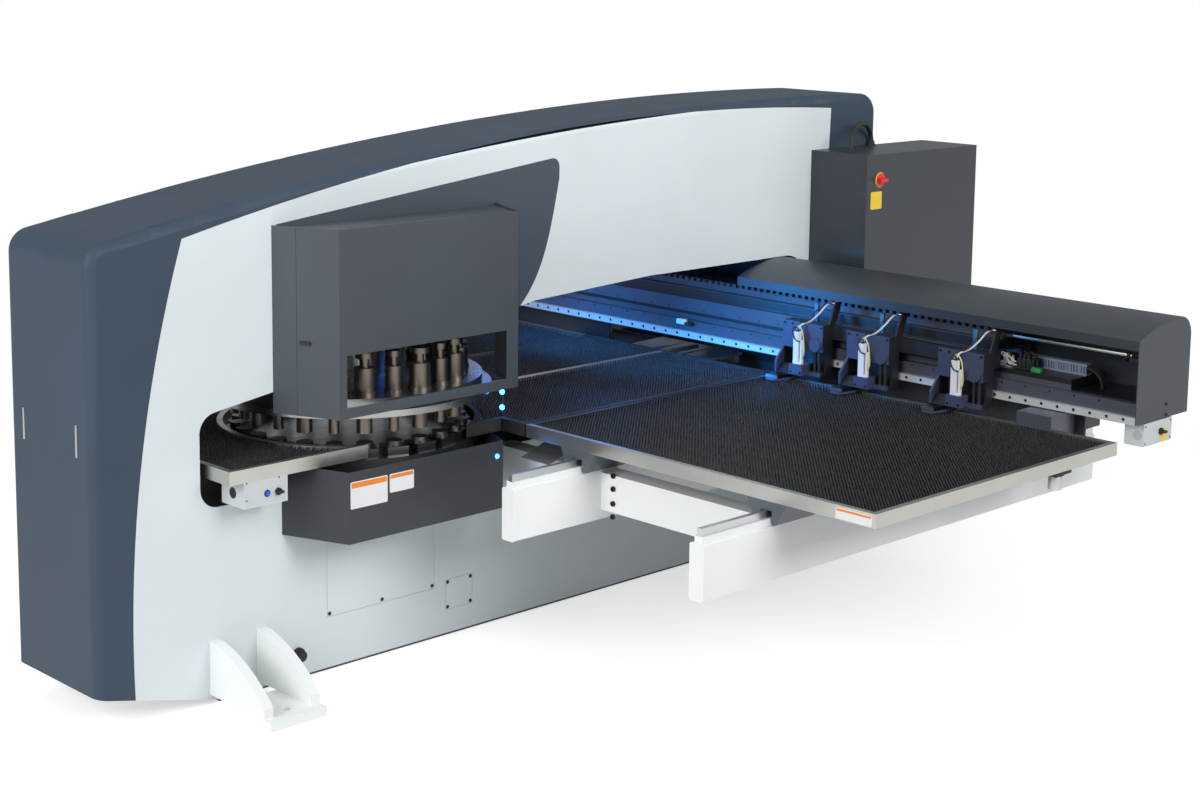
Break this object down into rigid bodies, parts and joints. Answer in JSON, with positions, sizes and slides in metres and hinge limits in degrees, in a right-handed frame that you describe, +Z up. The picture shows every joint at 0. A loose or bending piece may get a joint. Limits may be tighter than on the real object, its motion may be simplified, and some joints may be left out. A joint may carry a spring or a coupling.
{
  "type": "cnc turret punch press",
  "caption": "Closed-frame turret punch press with brush tables, moving cross rail and sheet clamps, indexing turrets, a ram and doors.",
  "frame": {"origin": "on the floor, under the turret axis, in the mid-plane of the frame", "axes": "+Z up, +X towards the side that the operator loads, +Y from the turret towards the cross rail and the rear of the frame"},
  "size_m": [5.0063, 4.95, 2.2169],
  "materials": {
    "frame_core": "satin dark grey paint on steel",
    "dark_cover": "satin blue-grey powder coat",
    "pale_panel": "satin pale grey powder coat",
    "white_paint": "gloss white paint",
    "housing_paint": "satin charcoal powder coat",
    "hood_paint": "satin anthracite powder coat",
    "rail_paint": "satin grey paint on a machined rail",
    "machined_steel": "turned steel",
    "tool_steel": "ground tool steel",
    "rail_steel": "ground rail steel",
    "zinc_sheet": "plain sheet metal",
    "table_edge": "brushed aluminium edge profile",
    "brush": "black nylon bristle tufts",
    "clamp_black": "satin black",
    "box_grey": "satin light grey coat on a control box",
    "black_plastic": "black plastic",
    "white_plastic": "white plastic",
    "red_plastic": "red plastic grip on a yellow plate",
    "blue_plastic": "blue plastic button cap"
  },
  "bodies": {
    "frame": {"access_cover": "pale_panel", "access_hatch": "pale_panel", "cabinet": "hood_paint", "centre_table_brushes": "brush", "centre_table_frame": "table_edge", "chute_cover": "zinc_sheet", "foot_front_left": "white_paint", "foot_front_right": "white_paint", "foot_rear_left": "white_paint", "foot_rear_right": "white_paint", "front_control_box": "box_grey", "front_cover": "dark_cover", "front_table_brushes": "brush", "front_table_frame": "table_edge", "inner_beam_left": "white_paint", "inner_beam_right": "white_paint", "main_frame": "frame_core", "outer_beam_left": "white_paint", "outer_beam_right": "white_paint", "ram_cylinder": "frame_core", "rear_cover": "dark_cover", "side_panel_left": "pale_panel", "side_panel_right": "pale_panel", "skirt_left": "housing_paint", "skirt_right": "housing_paint", "top_cover": "dark_cover", "turret_housing_left": "housing_paint", "turret_housing_right": "housing_paint"},
    "y_carriage": {"cross_rail": "rail_paint", "clamp_slide_rail": "rail_steel", "wing_frame_right": "table_edge", "wing_frame_left": "table_edge", "wing_brushes_right": "brush", "wing_brushes_left": "brush", "hood_right": "hood_paint", "hood_left": "hood_paint", "hood_control_box": "box_grey", "cable_duct": "black_plastic", "cable_chain": "black_plastic"},
    "x_carriage": {"clamp_carriage": "clamp_black", "clamp_actuator_1": "white_plastic", "clamp_actuator_2": "white_plastic", "clamp_actuator_3": "white_plastic"},
    "jaw_1": {"clamp_jaw_1": "tool_steel"},
    "jaw_2": {"clamp_jaw_2": "tool_steel"},
    "jaw_3": {"clamp_jaw_3": "tool_steel"},
    "upper_turret": {"upper_turret": "machined_steel", "turret_ring": "machined_steel", "punch_tools": "tool_steel"},
    "working_punch": {"working_punch": "tool_steel"},
    "lower_turret": {"lower_turret": "machined_steel", "die_holders": "tool_steel"},
    "ram": {"ram": "tool_steel"},
    "housing_door": {"housing_door": "housing_paint"},
    "door_latch": {"door_latch": "black_plastic"},
    "cabinet_door": {"cabinet_door": "hood_paint"},
    "main_switch": {"main_switch": "red_plastic"},
    "front_button": {"front_button": "blue_plastic"},
    "front_selector": {"front_selector": "black_plastic"},
    "hood_selector": {"hood_selector": "black_plastic"}
  },
  "joints": [
    {"name": "y_travel", "type": "slide", "parent": "frame", "child": "y_carriage", "axis": [0, 1, 0], "range_m": [-1.2, 0]},
    {"name": "x_travel", "type": "slide", "parent": "y_carriage", "child": "x_carriage", "axis": [1, 0, 0], "range_m": [-2.6, 0.18]},
    {"name": "jaw_open_1", "type": "hinge", "parent": "x_carriage", "child": "jaw_1", "pos_m": [0.725, 2.03, 1.012], "axis": [-1, 0, 0], "range_deg": [0, 12]},
    {"name": "jaw_open_2", "type": "hinge", "parent": "x_carriage", "child": "jaw_2", "pos_m": [1.105, 2.03, 1.012], "axis": [-1, 0, 0], "range_deg": [0, 12]},
    {"name": "jaw_open_3", "type": "hinge", "parent": "x_carriage", "child": "jaw_3", "pos_m": [1.61, 2.03, 1.012], "axis": [-1, 0, 0], "range_deg": [0, 12]},
    {"name": "turret_index", "type": "hinge", "parent": "frame", "child": "upper_turret", "pos_m": [0, 0, 1.115], "axis": [0, 0, 1], "continuous": true},
    {"name": "die_index", "type": "hinge", "parent": "frame", "child": "lower_turret", "pos_m": [0, 0, 0.85], "axis": [0, 0, 1], "continuous": true},
    {"name": "ram_stroke", "type": "slide", "parent": "frame", "child": "ram", "axis": [0, 0, 1], "range_m": [-0.025, 0]},
    {"name": "punch_stroke", "type": "slide", "parent": "upper_turret", "child": "working_punch", "axis": [0, 0, 1], "range_m": [-0.025, 0]},
    {"name": "housing_door_hinge", "type": "hinge", "parent": "frame", "child": "housing_door", "pos_m": [0.576, 0.441, 1.48], "axis": [0, 0, 1], "range_deg": [0, 95]},
    {"name": "door_latch_turn", "type": "hinge", "parent": "housing_door", "child": "door_latch", "pos_m": [0.423, -0.54856, 1.4], "axis": [0.3858, -0.9226, 0], "range_deg": [0, 90]},
    {"name": "cabinet_door_hinge", "type": "hinge", "parent": "frame", "child": "cabinet_door", "pos_m": [0.65, 3.55, 1], "axis": [0, 0, 1], "range_deg": [0, 110]},
    {"name": "main_switch_turn", "type": "hinge", "parent": "cabinet_door", "child": "main_switch", "pos_m": [0.65, 2.75, 1.824], "axis": [1, 0, 0], "range_deg": [0, 90]},
    {"name": "front_button_press", "type": "slide", "parent": "frame", "child": "front_button", "axis": [1, 0, 0], "range_m": [-0.004, 0], "stiffness_N_per_m": 800},
    {"name": "front_selector_turn", "type": "hinge", "parent": "frame", "child": "front_selector", "pos_m": [0.46, -0.695, 0.846], "axis": [1, 0, 0], "range_deg": [0, 45]},
    {"name": "hood_selector_turn", "type": "hinge", "parent": "y_carriage", "child": "hood_selector", "pos_m": [2.49, 2.3, 0.97], "axis": [1, 0, 0], "range_deg": [0, 90]}
  ],
  "couplings": [
    {"joint": "die_index", "follows": "turret_index", "ratio": 1},
    {"joint": "punch_stroke", "follows": "ram_stroke", "ratio": 1},
    {"joint": "jaw_open_2", "follows": "jaw_open_1", "ratio": 1},
    {"joint": "jaw_open_3", "follows": "jaw_open_1", "ratio": 1}
  ]
}
